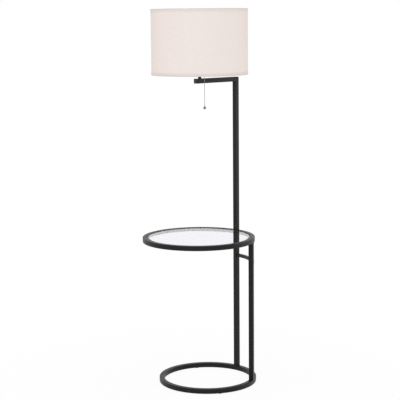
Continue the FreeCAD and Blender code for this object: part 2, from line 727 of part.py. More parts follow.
def make_harp_stud():
    """The swivel block on top of the harp, its rest for the shade and its threaded stud."""
    block = raised(Part.makeCylinder(SWIVEL_DIAMETER / 2, 2 * HARP_WIRE), harp_top - HARP_WIRE)
    rest = raised(Part.makeCylinder(REST_DIAMETER / 2, REST_THICKNESS), rest_top - REST_THICKNESS)
    stud = raised(Part.makeCylinder(STUD_DIAMETER / 2, STUD_LENGTH), rest_top)
    channel = Part.makeCylinder(HARP_WIRE / 2 + FIT, REST_DIAMETER, Vector(-REST_DIAMETER / 2, 0, harp_top),
                                Vector(1, 0, 0))
    block = block.cut(channel)
    keep = raised(Part.makeCylinder(SWIVEL_DIAMETER / 2, 2 * HARP_WIRE), harp_top - HARP_WIRE)
    return at_head(block.fuse(rest).fuse(stud).cut(channel.common(keep)).removeSplitter())


washer_low = rest_top + GAP
washer_top = washer_low + SPIDER_WASHER_THICKNESS
finial_low = washer_top + GAP


def make_finial():
    """A turned knob: flange, waist and ball, bored for the stud."""
    flange = FINIAL_DIAMETER / 2
    waist = FINIAL_WAIST / 2
    ball = FINIAL_BALL / 2
    ball_z = FINIAL_HEIGHT - ball
    first = -math.acos(waist / ball)
    turns = [first + (math.pi / 2 - first) * n / BEAD_SIDES for n in range(BEAD_SIDES)]
    outline = [(flange, 0), (flange, REST_THICKNESS), (waist, 2 * REST_THICKNESS)]
    outline += [(ball * math.cos(a), ball_z + ball * math.sin(a)) for a in turns]
    outline.append((ball * math.cos(turns[-1]) / 2, FINIAL_HEIGHT))
    bore = Part.makeCylinder(STUD_DIAMETER / 2 + FIT, STUD_LENGTH + 1)
    return at_head(raised(flat_sided(outline, KNOB_SIDES).cut(bore), finial_low))


# ---------------------------------------------------------------- bulb
bulb_tip = core_top + CONTACT_RISE + GAP
bulb_top = bulb_tip + BULB_LENGTH
base_high = bulb_tip + BULB_TIP_HEIGHT + BULB_BASE_HEIGHT


def make_bulb_base():
    """The bulb's screw cap, with its insulator and the contact at the tip."""
    side = LAMP_THREAD_DIAMETER / 2
    tip = BULB_TIP_DIAMETER / 2
    low = bulb_tip + BULB_TIP_HEIGHT
    cap = flat_sided([(tip / 2, bulb_tip), (tip, low - BULB_TIP_HEIGHT / 2), (side - BULB_TIP_HEIGHT, low),
                      (side, low + BULB_TIP_HEIGHT), (side, base_high)], CAP_SIDES)
    return at_head(cap)


def bulb_form(shrink):
    """The bulb's body: a neck that runs tangent into a round head."""
    radius = BULB_DIAMETER / 2 - shrink
    centre = bulb_top - BULB_DIAMETER / 2
    neck = BULB_NECK / 2 - shrink
    below = centre - base_high
    lean = math.asin(radius / math.hypot(neck, below)) - math.atan2(neck, below)
    turns = [-lean + (math.pi / 2 + lean) * n / WIRE_SIDES for n in range(WIRE_SIDES)]
    outline = [(neck, base_high)] + [(radius * math.cos(a), centre + radius * math.sin(a)) for a in turns]
    outline.append((radius * math.cos(turns[-1]) / 2, centre + radius))
    return flat_sided(outline, KNOB_SIDES)


def make_bulb_glass():
    return at_head(bulb_form(0).cut(bulb_form(BULB_GLASS)))


# ---------------------------------------------------------------- drum shade
skin_outer = SHADE_DIAMETER / 2
fabric_outer = skin_outer - TRIM
liner_outer = fabric_outer - FABRIC
liner_inner = liner_outer - STYRENE
wire_outer = liner_inner - FIT
wire_line = wire_outer - SHADE_WIRE / 2
top_wire_low = SHADE_TOP - TRIM - SHADE_WIRE


def drum_ring(outer, inner, height, low):
    return at_head(raised(flat_ring(outer, inner, height), low))


def make_spider_arms():
    """Cranked wires from the washer out to the top ring, which they meet from the washer's side."""
    level = washer_low + SPIDER_WASHER_THICKNESS / 2
    upward = 1 if top_wire_low > level else -1
    ring_face = top_wire_low if upward == 1 else top_wire_low + SHADE_WIRE
    start = Vector(SPIDER_WASHER_DIAMETER / 2 + FIT, 0, level)
    bend_start = Vector(wire_line - SPIDER_BEND, 0, level)
    bend_end = Vector(wire_line, 0, level + upward * SPIDER_BEND)
    slope = SPIDER_BEND * (1 - math.sin(math.pi / 4))
    edges = [
        Part.LineSegment(start, bend_start).toShape(),
        Part.Arc(bend_start, Vector(wire_line - slope, 0, level + upward * slope), bend_end).toShape(),
        Part.LineSegment(bend_end, Vector(wire_line, 0, ring_face)).toShape(),
    ]
    arm = bent_wire(edges, start, Vector(1, 0, 0), SHADE_WIRE / 2)
    return [at_head(turned(arm, ORIGIN, 360 * (n + 0.5) / SPIDER_ARMS)) for n in range(SPIDER_ARMS)]


def make_spider_washer():
    """The spider's eye, which sits between the harp's rest and the finial."""
    hole = STUD_DIAMETER / 2 + HOLE_MARGIN
    return drum_ring(SPIDER_WASHER_DIAMETER / 2, hole, SPIDER_WASHER_THICKNESS, washer_low)


# ---------------------------------------------------------------- write every node
save("base_ring", make_base_ring())
save("floor_pads", *make_floor_pads())
save("leg_bolts", *make_leg_bolts())
save("leg_washers", *make_leg_washers())
save("foot_plugs", *make_foot_plugs())
save("rear_leg", make_rear_leg())
save("front_leg", make_front_leg())
save("leg_brace", make_leg_brace())
save("cord_bushing", make_cord_bushing())
save("post_tongue", make_tongue())
save("tongue_screws", *make_tongue_screws())
save("post", make_post())
save("boom", make_boom())
save("boom_end_cap", make_boom_end_cap())
save("table_ring", make_table_ring())
save("glass_ledge", make_glass_ledge())
save("glass_bumpers", *make_glass_bumpers())
save("table_glass", make_table_glass())
save("threaded_nipple", make_nipple())
save("nipple_nut", make_nipple_nut())
save("lock_washer", make_lock_washer())
save("neck", make_neck())
save("harp_saddle", make_harp_saddle())
save("socket_cap", make_socket_cap())
save("socket_shell", make_socket_shell())
save("socket_liner", make_socket_liner())
save("socket_core", make_socket_core())
save("screw_shell", make_screw_shell())
save("centre_contact", make_centre_contact())
save("chain_arm", make_chain_arm())
save("switch_chain", make_switch_chain())
save("short_chain", make_short_chain())
save("chain_coupling", make_chain_coupling())
save("drop_chain", make_drop_chain())
save("pull_ball", make_pull_ball())
save("harp", make_harp())
save("harp_ferrule_rear", make_ferrule(1))
save("harp_ferrule_front", make_ferrule(-1))
save("harp_stud", make_harp_stud())
save("finial", make_finial())
save("bulb_base", make_bulb_base())
save("bulb_glass", make_bulb_glass())
save("shade_fabric", drum_ring(fabric_outer, liner_outer, SHADE_HEIGHT, shade_low))
save("shade_liner", drum_ring(liner_outer, liner_inner, SHADE_HEIGHT, shade_low))
save("shade_top_trim", drum_ring(skin_outer, fabric_outer, TRIM_BAND, SHADE_TOP - TRIM_BAND))
save("shade_bottom_trim", drum_ring(skin_outer, fabric_outer, TRIM_BAND, shade_low))
save("shade_top_ring", drum_ring(wire_outer, wire_outer - SHADE_WIRE, SHADE_WIRE, top_wire_low))
save("shade_bottom_ring", drum_ring(wire_outer, wire_outer - SHADE_WIRE, SHADE_WIRE, shade_low + TRIM))
save("spider_arms", *make_spider_arms())
save("spider_washer", make_spider_washer())
print("post turn", round(post_turn, 3), "degrees;", drop_chain_beads, "beads on the drop chain")
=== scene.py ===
import math

import bmesh
import bpy
from mathutils import Matrix, Vector
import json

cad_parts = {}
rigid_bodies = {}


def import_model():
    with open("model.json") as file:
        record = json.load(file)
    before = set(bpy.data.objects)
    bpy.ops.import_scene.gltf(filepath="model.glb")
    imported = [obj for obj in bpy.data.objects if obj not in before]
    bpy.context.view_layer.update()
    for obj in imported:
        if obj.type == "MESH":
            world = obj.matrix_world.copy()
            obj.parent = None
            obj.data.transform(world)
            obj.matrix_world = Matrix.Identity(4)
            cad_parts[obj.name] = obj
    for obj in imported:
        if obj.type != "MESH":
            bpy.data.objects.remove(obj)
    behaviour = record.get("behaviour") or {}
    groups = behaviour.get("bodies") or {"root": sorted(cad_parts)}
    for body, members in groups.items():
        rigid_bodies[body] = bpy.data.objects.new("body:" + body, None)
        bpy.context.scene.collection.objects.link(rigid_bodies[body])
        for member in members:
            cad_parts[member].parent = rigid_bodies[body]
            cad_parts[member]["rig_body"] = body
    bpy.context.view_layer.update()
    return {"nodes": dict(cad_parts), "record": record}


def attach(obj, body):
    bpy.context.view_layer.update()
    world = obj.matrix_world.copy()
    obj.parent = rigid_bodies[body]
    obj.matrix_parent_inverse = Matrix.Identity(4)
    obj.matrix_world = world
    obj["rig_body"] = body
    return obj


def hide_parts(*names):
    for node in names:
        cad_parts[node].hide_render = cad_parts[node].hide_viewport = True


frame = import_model()

# Camera: about five metres off and almost as high as the lamp, on a long lens.
# It looks down by some eight degrees and leans very slightly to one side.
camera_place = (-1.20989, -4.76805, 1.47977)
camera_turn = math.radians(14.284)
camera_dip = math.radians(8.363)
camera_lean = math.radians(-0.5)
camera_data = bpy.data.cameras.new("camera")
camera_data.sensor_width = 36.0
camera_data.lens = 110.25
camera_data.clip_end = 60.0
camera = bpy.data.objects.new("camera", camera_data)
camera.matrix_world = (
    Matrix.Translation(camera_place)
    @ Matrix.Rotation(-camera_turn, 4, "Z")
    @ Matrix.Rotation(math.pi / 2 - camera_dip, 4, "X")
    @ Matrix.Rotation(camera_lean, 4, "Z")
)
bpy.context.scene.collection.objects.link(camera)
bpy.context.scene.camera = camera
bpy.context.scene.view_settings.view_transform = "Standard"


# Studio: a white floor that keeps a faint shadow, and large soft lamps.
# Camera, mirror and glass rays meet plain white, so that the background is clean.
class Value:
    """One output of a shader node. Arithmetic on it adds Math nodes to the same finish."""

    def __init__(self, finish, socket):
        self.finish = finish
        self.socket = socket

    def maths(self, operation, other=0.0):
        return self.finish.node("ShaderNodeMath", {"operation": operation}, {0: self, 1: other})

    def __add__(self, other):
        return self.maths("ADD", other)

    def __sub__(self, other):
        return self.maths("SUBTRACT", other)

    def __rsub__(self, other):
        return self * -1.0 + other

    def __mul__(self, other):
        return self.maths("MULTIPLY", other)

    def __pow__(self, other):
        return self.maths("POWER", other)

    def __abs__(self):
        return self.maths("ABSOLUTE")

    __radd__ = __add__
    __rmul__ = __mul__


class Finish:
    """A material, built up node by node."""

    def __init__(self, name, data=None):
        self.data = data or bpy.data.materials.new(name)
        self.data.use_nodes = True
        self.tree = self.data.node_tree
        self.tree.nodes.clear()

    def node(self, kind, settings=None, inputs=None, output=0):
        """A node of one type: first its settings, then the values or links of its sockets."""
        made = self.tree.nodes.new(kind)
        for name, setting in (settings or {}).items():
            setattr(made, name, setting)
        for name, value in (inputs or {}).items():
            socket = made.inputs[name]
            if isinstance(value, Value):
                self.tree.links.new(value.socket, socket)
            elif socket.type == "RGBA":
                socket.default_value = (*value, 1.0)
            else:
                socket.default_value = value
        return Value(self, made.outputs[output])

    def place(self):
        return self.node("ShaderNodeTexCoord", output="Object")

    def first_two(self, vector):
        """The first two parts of a vector."""
        return [self.node("ShaderNodeSeparateXYZ", inputs={0: vector}, output=n) for n in range(2)]

    def reach(self, axis=Vector((0, 0, 0))):
        """How far a point lies from an upright axis."""
        x, y = self.first_two(self.place())
        x, y = x - axis.x, y - axis.y
        return (x * x + y * y) ** 0.5

    def noise(self, scale, detail=2.0, vector=None):
        sockets = {"Vector": vector or self.place(), "Scale": scale, "Detail": detail}
        return self.node("ShaderNodeTexNoise", inputs=sockets)

    def step(self, value, low, high):
        """Rises smoothly from 0 to 1 as the value goes from low to high."""
        settings = {"interpolation_type": "SMOOTHSTEP"}
        return self.node("ShaderNodeMapRange", settings, {"Value": value, "From Min": low, "From Max": high})

    def blend(self, amount, first, second):
        return self.node("ShaderNodeMix", {"data_type": "RGBA"}, {0: amount, 6: first, 7: second}, output=2)

    def bump(self, height, depth):
        return self.node("ShaderNodeBump", inputs={"Distance": depth, "Height": height})

    def principled(self, **sockets):
        names = {name.replace("_", " "): value for name, value in sockets.items()}
        return self.node("ShaderNodeBsdfPrincipled", inputs=names)

    def mix_shaders(self, amount, first, second):
        return self.node("ShaderNodeMixShader", inputs={0: amount, 1: first, 2: second})

    def output(self, shader, kind="ShaderNodeOutputMaterial"):
        made = self.tree.nodes.new(kind)
        self.tree.links.new(shader.socket, made.inputs["Surface"])
        return self.data


def seen_directly(finish):
    """1 for camera, mirror and glass rays, 0 for the light that falls on the lamp."""
    camera_ray, mirror_ray, glass_ray = (
        finish.node("ShaderNodeLightPath", output=name)
        for name in ("Is Camera Ray", "Is Glossy Ray", "Is Transmission Ray")
    )
    return (camera_ray + mirror_ray + glass_ray).maths("MINIMUM", 1.0)


white = (1, 1, 1)
floor_half = 30.0
shadow_near = 0.25
shadow_far = 1.3
shadow_share = 0.07
floor_mesh = bpy.data.meshes.new("studio_floor")
floor_form = bmesh.new()
bmesh.ops.create_grid(floor_form, x_segments=1, y_segments=1, size=floor_half)
floor_form.to_mesh(floor_mesh)
floor_form.free()
studio_floor = bpy.data.objects.new("studio_floor", floor_mesh)
bpy.context.scene.collection.objects.link(studio_floor)
paper = Finish("white_paper")
paper_glow = paper.step(paper.reach(), shadow_near, shadow_far) * shadow_share + (1 - shadow_share)
paper_matt = paper.node("ShaderNodeBsdfDiffuse", inputs={"Color": (0.82, 0.82, 0.82)})
paper_white = paper.node("ShaderNodeEmission", inputs={"Color": white, "Strength": 1.0})
paper_mix = paper.mix_shaders(seen_directly(paper) * paper_glow, paper_matt, paper_white)
floor_mesh.materials.append(paper.output(paper_mix))

world = bpy.data.worlds.new("studio_air")
bpy.context.scene.world = world
air = Finish("studio_air", world)
air_soft = air.node("ShaderNodeBackground", inputs={"Color": (1.0, 0.975, 0.96), "Strength": 0.79})
air_white = air.node("ShaderNodeBackground", inputs={"Color": white, "Strength": 1.0})
air.output(air.mix_shaders(seen_directly(air), air_soft, air_white), "ShaderNodeOutputWorld")


def soft_lamp(name, place, aim, size, power, tint=white):
    """A round area lamp, aimed at a point, that no camera sees."""
    lamp_data = bpy.data.lights.new(name, "AREA")
    lamp_data.color = tint
    lamp_data.shape = "DISK"
    lamp_data.size = size
    lamp_data.energy = power
    lamp = bpy.data.objects.new(name, lamp_data)
    lamp.location = place
    lamp.visible_camera = False
    lamp.rotation_euler = (Vector(aim) - Vector(place)).to_track_quat("-Z", "Y").to_euler()
    bpy.context.scene.collection.objects.link(lamp)


soft_lamp("front_lamp", (-1.5, -4.0, 2.4), (0, 0, 1.0), 1.8, 35)
soft_lamp("left_lamp", (-3.0, -0.9, 1.9), (0, 0, 1.2), 1.6, 7, (1.0, 0.76, 0.62))
soft_lamp("right_lamp", (3.05, -0.64, 0.85), (0.19, 0.1, 0.9), 1.6, 10.5, (1.0, 0.80, 0.68))
soft_lamp("top_lamp", (0.2, 0.4, 3.6), (0, 0, 0.6), 1.6, 20)


# Base ring: a square steel bar rolled into a hoop, its joint welded and ground flush.
# It is powder coated satin black, and counterbored from below for the two leg bolts.
def put_together(name, form, finish, body, slot, *stands_for, crease=35.0):
    """Makes a piece of a form: smooth faces, sharp creases, a finish, and the body it rides on."""
    for face in form.faces:
        face.smooth = True
    for edge in form.edges:
        if len(edge.link_faces) == 2:
            edge.smooth = edge.calc_face_angle(0.0) < math.radians(crease)
    mesh = bpy.data.meshes.new(name)
    form.to_mesh(mesh)
    form.free()
    mesh.materials.append(finish)
    piece = bpy.data.objects.new(name, mesh)
    bpy.context.scene.collection.objects.link(piece)
    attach(piece, body)
    if stands_for:
        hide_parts(*stands_for)
    return piece


nodes = frame["nodes"]
slots = {part["node"]: part["material_slot"] for part in frame["record"]["subparts"]}
corner_gap = 0.000004


def eased(finish, *names):
    """Copies solids with their faces joined, so that bends and broken edges shade smoothly."""
    for name in names:
        form = bmesh.new()
        form.from_mesh(nodes[name].data)
        bmesh.ops.remove_doubles(form, verts=form.verts, dist=corner_gap)
        body = nodes[name]["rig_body"]
        piece = put_together(name + "_finished", form, finish, body, slots[name], name, crease=50.0)
        flats = piece.modifiers.new("flats", "WEIGHTED_NORMAL")
        flats.mode = "FACE_AREA_WITH_ANGLE"
        flats.keep_sharp = True


def dress(finish, *names):
    """Gives solids a finish as they are."""
    for name in names:
        nodes[name].data.materials.clear()
        nodes[name].data.materials.append(finish)


coat = Finish("satin_black_powder_coat")
coat_peel = coat.noise(450.0)
coat_cloud = coat.noise(14.0, 3.0)
coat_speck = coat.step(coat.noise(2600.0, 1.0), 0.62, 0.72)
coat_tone = coat.blend(coat_cloud, (0.005, 0.005, 0.0055), (0.009, 0.0085, 0.009))
coat_body = coat.principled(
    Base_Color=coat.blend(coat_speck * 0.4, coat_tone, (0.020, 0.019, 0.020)),
    Roughness=coat_cloud * 0.12 + 0.34,
    Specular_IOR_Level=0.2,
    Normal=coat.bump(coat_peel, 0.00004),
)
black_coat = coat.output(coat_body)
eased(black_coat, "base_ring")

# Pads and bolts under the base ring: soft rubber discs stuck to it, and zinc-plated
# hexagon bolts with washers, which pull the plugs in the legs' feet down onto the ring.
rubber = Finish("pad_rubber")
rubber_body = rubber.principled(
    Base_Color=rubber.blend(rubber.noise(60.0), (0.02, 0.02, 0.02), (0.035, 0.034, 0.033)),
    Roughness=0.85,
    Normal=rubber.bump(rubber.noise(1500.0), 0.00008),
)
eased(rubber.output(rubber_body), "floor_pads")

zinc = Finish("zinc_plate")
zinc_cloud = zinc.noise(260.0, 4.0)
zinc_body = zinc.principled(
    Base_Color=zinc.blend(zinc_cloud, (0.52, 0.52, 0.53), (0.68, 0.67, 0.64)),
    Metallic=1.0,
    Roughness=zinc_cloud * 0.2 + 0.25,
)
zinc_plate = zinc.output(zinc_body)
eased(zinc_plate, "leg_bolts", "leg_washers")
dress(zinc_plate, "foot_plugs")

# Legs and brace: two square tubes cut square, welded under the table ring, and a
# square bar bent to the ring's curve and welded between them. Coated like the ring.
eased(black_coat, "rear_leg", "front_leg", "leg_brace")
up = Vector((0, 0, 1))
table_axis = Vector((-0.002575581, 0, 0))
leg_x = 0.187657828
leg_y = 0.1085
leg_high = 0.5882
brace_middle = 0.5
tube_half = 0.0095
brace_half = 0.00635
leg_bead = 0.0024
brace_bead = 0.0022
bead_step = 0.0011
bead_dip = 0.84


def weld_run(name, middle, across, along, half, thickness):
    """A ripple of weld round a square bar where it meets the next piece."""
    corners = [(half, half), (-half, half), (-half, -half), (half, -half)]
    steps = round(2 * half / bead_step)
    path = []
    for (x0, y0), (x1, y1) in zip(corners, corners[1:] + corners[:1]):
        for n in range(steps):
            x = x0 + (x1 - x0) * n / steps
            y = y0 + (y1 - y0) * n / steps
            path.append(middle + across * x + along * y)
    bead = bpy.data.curves.new(name, "CURVE")
    bead.dimensions = "3D"
    bead.bevel_depth = thickness / 2
    bead.bevel_resolution = 2
    run = bead.splines.new("POLY")
    run.points.add(len(path) - 1)
    for n, (point, place) in enumerate(zip(run.points, path)):
        point.co = (*place, 1)
        point.radius = 1.0 if n % 2 else bead_dip
    run.use_cyclic_u = True
    holder = bpy.data.objects.new(name, bead)
    form = bmesh.new()
    form.from_mesh(bpy.data.meshes.new_from_object(holder))
    bpy.data.objects.remove(holder)
    put_together(name, form, black_coat, "frame", "black_frame", crease=70.0)


for side, which in ((1, "rear"), (-1, "front")):
    leg_at = Vector((leg_x, side * leg_y, 0))
    outward = (leg_at - table_axis).normalized()
    towards_other = outward.cross(up) * side
    leg_end = leg_at + up * leg_high
    brace_end = leg_at + towards_other * tube_half + up * brace_middle
    weld_run(which + "_leg_weld", leg_end, outward, towards_other, tube_half, leg_bead)
    weld_run(which + "_brace_weld", brace_end, outward, up, brace_half, brace_bead)

# Cord bushing: a moulded black ring snapped into the rear leg, low on its outer side.
# The boom's end cap is moulded in the same plastic and pressed into the tube.
moulded = Finish("moulded_black")
moulded_body = moulded.principled(
    Base_Color=moulded.blend(moulded.noise(40.0), (0.012, 0.012, 0.012), (0.02, 0.019, 0.019)),
    Roughness=0.5,
    Normal=moulded.bump(moulded.noise(2200.0), 0.00004),
)
eased(moulded.output(moulded_body), "cord_bushing", "boom_end_cap")

# Post and boom: square tubes mitred together, welded and ground flush. The post drops
# over a zinc-plated tongue in the rear leg, held by two grub screws in the leg's outer face.
eased(black_coat, "post", "boom")
dress(zinc_plate, "post_tongue")
eased(zinc_plate, "tongue_screws")

# Table ring and ledge: square tube rolled into a hoop, with a flat steel ledge welded
# inside it, both coated black. Six clear soft dots on the ledge carry the glass.
eased(black_coat, "table_ring", "glass_ledge")
bumper = Finish("clear_bumper")
bumper_body = bumper.principled(
    Base_Color=bumper.blend(bumper.noise(300.0), (0.80, 0.82, 0.80), (0.90, 0.91, 0.90)),
    Roughness=0.3,
    Transmission_Weight=0.6,
)
eased(bumper.output(bumper_body), "glass_bumpers")

# Table glass: a clear tempered disc, 5 mm thick, its edge ground round and polished.
# It lies loose on the dots and is lifted out by pushing it up from below.
glass_radius = 0.2075
glass_low = 0.601
glass_thick = 0.005
glass_edge = 0.0009
glass_margin = 0.002
green_full = 0.0004
glass_form = bmesh.new()
bmesh.ops.create_cone(glass_form, cap_ends=True, segments=384, radius1=glass_radius,
                      radius2=glass_radius, depth=glass_thick)
glass_middle = table_axis + up * (glass_low + glass_thick / 2)
bmesh.ops.translate(glass_form, verts=glass_form.verts, vec=glass_middle)
glass_rims = [e for e in glass_form.edges if any(len(f.verts) > 4 for f in e.link_faces)]
bmesh.ops.bevel(glass_form, geom=glass_rims, offset=glass_edge, affect="EDGES", segments=4,
                profile=0.5, material=-1)
glass_flats = [face for face in glass_form.faces if len(face.verts) > 4]
bmesh.ops.inset_individual(glass_form, faces=glass_flats, thickness=glass_margin)
pane = Finish("clear_table_glass")
pane_edge = pane.step(pane.reach(table_axis), glass_radius - glass_margin, glass_radius - green_full)
pane_body = pane.principled(
    Base_Color=pane.blend(pane_edge, (0.85, 0.84, 0.915), (0.45, 0.72, 0.62)),
    Roughness=0.0,
    IOR=1.5,
    Transmission_Weight=1.0,
)
pane_clear = pane.node("ShaderNodeBsdfTransparent", inputs={"Color": (0.93, 0.95, 0.94)})
pane_shadow = pane.node("ShaderNodeLightPath", output="Is Shadow Ray")
clear_glass = pane.output(pane.mix_shaders(pane_shadow, pane_body, pane_clear))
put_together("table_glass_pane", glass_form, clear_glass, "glass", "table_glass", "table_glass", crease=40.0)

# Neck, nipple and socket: turned and pressed steel in black enamel, held to the boom by
# a zinc-plated nipple, with a fibre liner, a phenolic switch core and a brass screw shell.
enamel = Finish("black_enamel")
enamel_cloud = enamel.noise(30.0, 3.0)
enamel_body = enamel.principled(
    Base_Color=enamel.blend(enamel_cloud, (0.010, 0.010, 0.010), (0.016, 0.015, 0.015)),
    Roughness=enamel_cloud * 0.1 + 0.26,
    Specular_IOR_Level=0.4,
    Normal=enamel.bump(enamel.noise(700.0), 0.00003),
)
black_enamel = enamel.output(enamel_body)
eased(black_enamel, "neck", "socket_cap", "socket_shell", "chain_arm")
eased(zinc_plate, "threaded_nipple", "nipple_nut", "lock_washer")

brass = Finish("screw_shell_brass")
brass_cloud = brass.noise(180.0, 3.0)
brass_body = brass.principled(
    Base_Color=brass.blend(brass_cloud, (0.62, 0.42, 0.16), (0.78, 0.58, 0.28)),
    Metallic=1.0,
    Roughness=brass_cloud * 0.2 + 0.2,
)
eased(brass.output(brass_body), "screw_shell", "centre_contact")

fibre = Finish("insulating_fibre")
fibre_body = fibre.principled(
    Base_Color=fibre.blend(fibre.noise(900.0, 4.0), (0.20, 0.13, 0.07), (0.33, 0.23, 0.13)),
    Roughness=0.8,
)
eased(fibre.output(fibre_body), "socket_liner")

phenolic = Finish("phenolic_core")
phenolic_body = phenolic.principled(
    Base_Color=phenolic.blend(phenolic.noise(500.0, 3.0), (0.014, 0.010, 0.008), (0.03, 0.02, 0.015)),
    Roughness=0.35,
)
eased(phenolic.output(phenolic_body), "socket_core")

shade_axis = Vector((0.009151136, 0.006688356, 0))
full_turn = 2 * math.pi
quarter_turn = math.pi / 2
seam_gap = 0.000002


def spun(outline, steps, axis, ease=0.0, arc=full_turn, start=0.0):
    """A turned form: an outline of (radius, height) in millimetres, spun about an upright axis."""
    form = bmesh.new()
    line = [form.verts.new((radius / 1000, 0, height / 1000)) for radius, height in outline]
    if outline[0] == outline[-1]:
        form.verts.remove(line.pop())
        line.append(line[0])
    for first, second in zip(line, line[1:]):
        form.edges.new((first, second))
    if ease:
        inner = [v for v in form.verts if len(v.link_edges) == 2]
        bmesh.ops.bevel(form, geom=inner, offset=ease / 1000, affect="VERTICES", segments=3,
                        profile=0.5, material=-1)
    turn = Matrix.Rotation(start, 3, "Z")
    bmesh.ops.rotate(form, verts=form.verts, cent=(0, 0, 0), matrix=turn)
    whole = arc == full_turn
    bmesh.ops.spin(form, geom=form.verts[:] + form.edges[:], cent=(0, 0, 0), axis=(0, 0, 1),
                   angle=arc, steps=steps, use_merge=whole)
    bmesh.ops.remove_doubles(form, verts=form.verts, dist=seam_gap)
    if not whole:
        bmesh.ops.holes_fill(form, edges=[e for e in form.edges if e.is_boundary])
    bmesh.ops.recalc_face_normals(form, faces=form.faces)
    bmesh.ops.translate(form, verts=form.verts, vec=axis)
    return form


# The shell has a rolled bead low down, where its lap meets the cap, and one below its lip.
shell_radius = 17.9
roll = [(0.0, -0.9), (0.45, -0.6), (0.65, 0.0), (0.45, 0.6), (0.0, 0.9), (0.0, -0.9)]
for name, height in (("shell_lap_bead", 1283.3), ("shell_lip_bead", 1329.0)):
    roll_form = spun([(shell_radius + out, height + rise) for out, rise in roll], 64, shade_axis)
    put_together(name, roll_form, black_enamel, "frame", "black_lamp_steel", crease=60.0)

# Pull chain: hollow beads rolled round short pins, a barrel coupling that clips two lengths
# together, and a ball with a crimped collar. All are nickel plated, the ball a dark grey.
bright = Finish("bright_chain_nickel")
bright_cloud = bright.noise(600.0)
bright_body = bright.principled(
    Base_Color=bright.blend(bright_cloud, (0.26, 0.255, 0.24), (0.36, 0.35, 0.33)),
    Metallic=1.0,
    Roughness=bright_cloud * 0.1 + 0.12,
)
bright_nickel = bright.output(bright_body)
chain_axis = Vector((0.022527848, -0.016765078, 0))
bead_radius = 1.6
bead_pitch = 4.3
bead_turn = 0.96 * quarter_turn
pin_radius = 0.45


def arc_line(radius, height, first, last, steps, out=0.0):
    """Points of an outline along an arc, from one angle to another, round a centre on or off the axis."""
    angles = [first + (last - first) * n / steps for n in range(steps + 1)]
    return [(out + radius * math.cos(angle), height + radius * math.sin(angle)) for angle in angles]


def beads(length, first, count, above):
    """Beads from one height down, on a pin that also runs up from the first of them."""
    outline = [(0, first + above), (pin_radius, first + above)]
    for n in range(count):
        middle = first - n * bead_pitch
        outline += arc_line(bead_radius, middle, bead_turn, -bead_turn, 8)
        outline += [(pin_radius, outline[-1][1]), (pin_radius, middle - bead_pitch + bead_radius)]
    outline = outline[:-2]
    outline.append((0, outline[-1][1]))
    form = spun(outline, 16, chain_axis)
    put_together(length + "_beads", form, bright_nickel, length, "chain_nickel", length, crease=60.0)


beads("switch_chain", 1287.1, 2, 4.3)
beads("short_chain", 1278.5, 3, 2.4)
beads("drop_chain", 1251.8, 27, 5.8)

barrel_middle = 1261.6
barrel_end = 4.0
barrel_half = [(1.5, barrel_end), (2.2, 3.5), (2.5, 2.4), (2.5, 0.6), (2.32, 0.3)]
barrel_pin = 1268.0
barrel = [(0, barrel_pin), (pin_radius, barrel_pin), (pin_radius, barrel_middle + barrel_end)]
barrel += [(radius, barrel_middle + rise) for radius, rise in barrel_half]
barrel += [(radius, barrel_middle - rise) for radius, rise in reversed(barrel_half)]
barrel.append((0, barrel_middle - barrel_end))
barrel_form = spun(barrel, 32, chain_axis, ease=0.15)
put_together("coupling_barrel", barrel_form, bright_nickel, "drop_chain", "chain_nickel", "chain_coupling",
             crease=40.0)

ball_metal = Finish("dark_ball_nickel")
ball_cloud = ball_metal.noise(220.0, 3.0)
ball_body = ball_metal.principled(
    Base_Color=ball_metal.blend(ball_cloud, (0.15, 0.15, 0.135), (0.21, 0.205, 0.185)),
    Metallic=1.0,
    Roughness=ball_cloud * 0.12 + 0.22,
)
ball_middle = 1130.5
ball_radius = 5.5
collar_radius = 2.2
collar = [(2.2, 5.6), (2.0, 6.0), (2.25, 6.5), (2.2, 7.4), (1.7, 7.9), (0, 7.9)]
ball_last = math.acos(collar_radius / ball_radius)
ball_line = [(0, ball_middle - ball_radius)]
ball_line += arc_line(ball_radius, ball_middle, -quarter_turn, ball_last, 20)[1:]
ball_line += [(radius, ball_middle + rise) for radius, rise in collar]
ball_form = spun(ball_line, 40, chain_axis)
dark_nickel = ball_metal.output(ball_body)
put_together("pull_ball_turned", ball_form, dark_nickel, "drop_chain", "ball_metal", "pull_ball", crease=50.0)

# Harp and saddle: bent wire and strip, satin nickel plated. Two loose ferrules lock the
# harp's legs to the saddle's ears, and a swivel at its top carries the shade and the finial.
nickel = Finish("satin_nickel")
nickel_cloud = nickel.noise(420.0, 4.0)
nickel_body = nickel.principled(
    Base_Color=nickel.blend(nickel_cloud, (0.56, 0.54, 0.50), (0.68, 0.66, 0.62)),
    Metallic=1.0,
    Roughness=nickel_cloud * 0.18 + 0.28,
)
satin_nickel = nickel.output(nickel_body)
eased(satin_nickel, "harp_saddle", "harp", "harp_ferrule_rear", "harp_ferrule_front", "harp_stud")

# Finial: a turned steel knob in black enamel, with a wide foot, a waist and a round head.
# It is bored and threaded from below, and screws down on the spider's washer.
finial_low = 1483.8
finial_high = finial_low + 24
bore_high = finial_low + 14
bore_radius = 3.3
foot_radius = 8.5
waist_radius = 4.4
knob_radius = 6.5
knob_middle = finial_high - knob_radius
knob_first = -math.acos(waist_radius / knob_radius)
finial_line = [(bore_radius, finial_low), (foot_radius, finial_low), (foot_radius, finial_low + 2)]
finial_line += [(waist_radius, finial_low + 4), (waist_radius, finial_low + 7)]
finial_line += [(waist_radius - 0.4, finial_low + 7.4), (waist_radius, finial_low + 7.8)]
finial_line += arc_line(knob_radius, knob_middle, knob_first, quarter_turn, 16)[:-1]
finial_line += [(0, finial_high), (0, bore_high), (bore_radius, bore_high), (bore_radius, finial_low)]
finial_form = spun(finial_line, 48, shade_axis, ease=0.12)
put_together("finial_knob", finial_form, black_enamel, "finial", "black_knob", "finial", crease=40.0)

